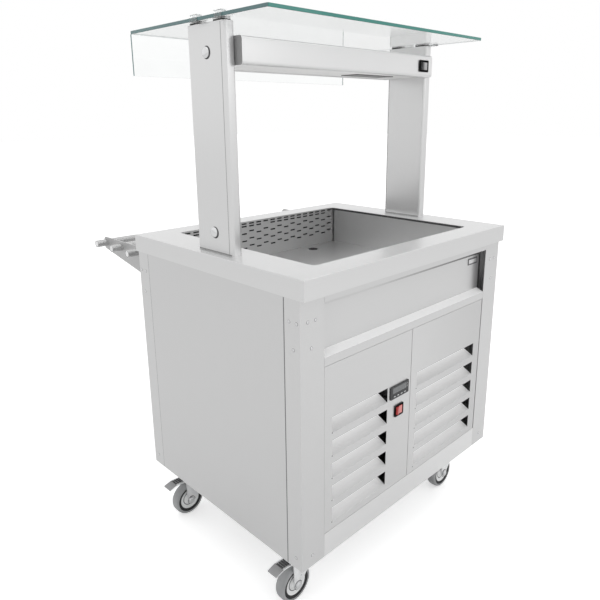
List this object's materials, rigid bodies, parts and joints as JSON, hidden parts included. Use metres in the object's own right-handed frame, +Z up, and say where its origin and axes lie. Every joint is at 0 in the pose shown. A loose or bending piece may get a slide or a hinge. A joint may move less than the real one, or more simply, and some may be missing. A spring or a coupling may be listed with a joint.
{
  "type": "mobile salad bar",
  "caption": "Mobile refrigerated salad bar: steel cabinet on braked castors, sunk well with slotted air plate, glass overshelf with light, tray slide and louvred front.",
  "frame": {"origin": "on the floor, under the centre of the part's bounding box; the cabinet's own centre line stands at X 8.95 mm, Y -137 mm", "axes": "+Z up; -Y is the operator's side with louvres and switches; +Y is the customers' side with the tray slide; +X is to the right of someone who faces the louvres"},
  "size_m": [0.8806, 0.974, 1.452],
  "materials": {
    "steel": "fine brushed stainless steel",
    "steel_plain": "bright drawn stainless steel",
    "zinc": "zinc plated",
    "seal_dark": "matt thermal break",
    "glass_clear": "toughened, polished edges",
    "clip_clear": "clear plastic",
    "pad_black": "soft black",
    "plastic_black": "fine grain",
    "key_grey": "satin",
    "rocker_red": "translucent red",
    "rocker_black": "satin black",
    "opal": "opal diffuser",
    "shell_black": "black enamel",
    "fins": "fins in a plain frame",
    "fan_grey": "matt",
    "tyre": "grey thermoplastic rubber tread"
  },
  "bodies": {
    "cabinet": {"worktop": "steel", "well_tank": "steel", "air_plate": "steel", "corner_post_fl": "steel", "corner_post_fr": "steel", "corner_post_rl": "steel", "corner_post_rr": "steel", "side_panel_l": "steel", "side_panel_r": "steel", "rear_panel": "steel", "front_fascia": "steel", "louvre_panel": "steel", "base_pan": "steel", "gantry_post_l": "steel", "gantry_post_r": "steel", "light_housing": "steel", "rivets": "steel_plain", "post_bolts": "steel_plain", "slide_tube_inner": "steel_plain", "slide_tube_middle": "steel_plain", "slide_tube_outer": "steel_plain", "slide_bracket_l": "steel_plain", "slide_bracket_r": "steel_plain", "underframe": "zinc", "castor_plates": "zinc", "well_seal": "seal_dark", "glass_shelf": "glass_clear", "glass_screen": "glass_clear", "glass_clips": "clip_clear", "glass_pads": "pad_black", "controller": "plastic_black", "main_switch_bezel": "plastic_black", "light_switch_bezel": "plastic_black", "light_diffuser": "opal", "compressor": "shell_black", "condenser": "fins"},
    "door": {"service_door": "steel"},
    "main_rocker": {"main_switch_rocker": "rocker_red"},
    "light_rocker": {"light_switch_rocker": "rocker_black"},
    "fan": {"fan_rotor": "fan_grey"},
    "key_body_1": {"key_1": "key_grey"},
    "key_body_2": {"key_2": "key_grey"},
    "key_body_3": {"key_3": "key_grey"},
    "key_body_4": {"key_4": "key_grey"},
    "swivel_fl": {"castor_fork_fl": "zinc", "castor_axle_fl": "zinc"},
    "wheel_fl": {"castor_wheel_fl": "tyre"},
    "pedal_fl": {"castor_pedal_fl": "zinc"},
    "swivel_fr": {"castor_fork_fr": "zinc", "castor_axle_fr": "zinc"},
    "wheel_fr": {"castor_wheel_fr": "tyre"},
    "pedal_fr": {"castor_pedal_fr": "zinc"},
    "swivel_rl": {"castor_fork_rl": "zinc", "castor_axle_rl": "zinc"},
    "wheel_rl": {"castor_wheel_rl": "tyre"},
    "pedal_rl": {"castor_pedal_rl": "zinc"},
    "swivel_rr": {"castor_fork_rr": "zinc", "castor_axle_rr": "zinc"},
    "wheel_rr": {"castor_wheel_rr": "tyre"},
    "pedal_rr": {"castor_pedal_rr": "zinc"}
  },
  "joints": [
    {"name": "door_hinge", "type": "hinge", "parent": "cabinet", "child": "door", "pos_m": [0.00175, -0.468, 0.455], "axis": [0, 0, -1], "range_deg": [0, 105]},
    {"name": "main_switch", "type": "hinge", "parent": "cabinet", "child": "main_rocker", "pos_m": [-0.05605, -0.4718, 0.4609], "axis": [0, 0, 1], "range_deg": [-18, 0]},
    {"name": "light_switch", "type": "hinge", "parent": "cabinet", "child": "light_rocker", "pos_m": [0.33495, -0.2358, 1.371], "axis": [0, 0, 1], "range_deg": [-18, 0]},
    {"name": "fan_spin", "type": "hinge", "parent": "cabinet", "child": "fan", "pos_m": [0.17495, -0.341, 0.2997], "axis": [0, 1, 0], "continuous": true},
    {"name": "key_1_press", "type": "slide", "parent": "cabinet", "child": "key_body_1", "axis": [0, 1, 0], "range_m": [0, 0.0006], "stiffness_N_per_m": 300},
    {"name": "key_2_press", "type": "slide", "parent": "cabinet", "child": "key_body_2", "axis": [0, 1, 0], "range_m": [0, 0.0006], "stiffness_N_per_m": 300},
    {"name": "key_3_press", "type": "slide", "parent": "cabinet", "child": "key_body_3", "axis": [0, 1, 0], "range_m": [0, 0.0006], "stiffness_N_per_m": 300},
    {"name": "key_4_press", "type": "slide", "parent": "cabinet", "child": "key_body_4", "axis": [0, 1, 0], "range_m": [0, 0.0006], "stiffness_N_per_m": 300},
    {"name": "swivel_fl", "type": "hinge", "parent": "cabinet", "child": "swivel_fl", "pos_m": [-0.33435, -0.3825, 0.112], "axis": [0, 0, 1], "continuous": true},
    {"name": "roll_fl", "type": "hinge", "parent": "swivel_fl", "child": "wheel_fl", "pos_m": [-0.36965, -0.3825, 0.05], "axis": [0, 1, 0], "continuous": true},
    {"name": "brake_fl", "type": "hinge", "parent": "swivel_fl", "child": "pedal_fl", "pos_m": [-0.37435, -0.3825, 0.112], "axis": [0, -1, 0], "range_deg": [0, 15]},
    {"name": "swivel_fr", "type": "hinge", "parent": "cabinet", "child": "swivel_fr", "pos_m": [0.35225, -0.3825, 0.112], "axis": [0, 0, 1], "continuous": true},
    {"name": "roll_fr", "type": "hinge", "parent": "swivel_fr", "child": "wheel_fr", "pos_m": [0.31695, -0.3825, 0.05], "axis": [0, 1, 0], "continuous": true},
    {"name": "brake_fr", "type": "hinge", "parent": "swivel_fr", "child": "pedal_fr", "pos_m": [0.31225, -0.3825, 0.112], "axis": [0, -1, 0], "range_deg": [0, 15]},
    {"name": "swivel_rl", "type": "hinge", "parent": "cabinet", "child": "swivel_rl", "pos_m": [-0.33435, 0.1085, 0.112], "axis": [0, 0, 1], "continuous": true},
    {"name": "roll_rl", "type": "hinge", "parent": "swivel_rl", "child": "wheel_rl", "pos_m": [-0.36965, 0.1085, 0.05], "axis": [0, 1, 0], "continuous": true},
    {"name": "brake_rl", "type": "hinge", "parent": "swivel_rl", "child": "pedal_rl", "pos_m": [-0.37435, 0.1085, 0.112], "axis": [0, -1, 0], "range_deg": [0, 15]},
    {"name": "swivel_rr", "type": "hinge", "parent": "cabinet", "child": "swivel_rr", "pos_m": [0.35225, 0.1085, 0.112], "axis": [0, 0, 1], "continuous": true},
    {"name": "roll_rr", "type": "hinge", "parent": "swivel_rr", "child": "wheel_rr", "pos_m": [0.31695, 0.1085, 0.05], "axis": [0, 1, 0], "continuous": true},
    {"name": "brake_rr", "type": "hinge", "parent": "swivel_rr", "child": "pedal_rr", "pos_m": [0.31225, 0.1085, 0.112], "axis": [0, -1, 0], "range_deg": [0, 15]}
  ]
}
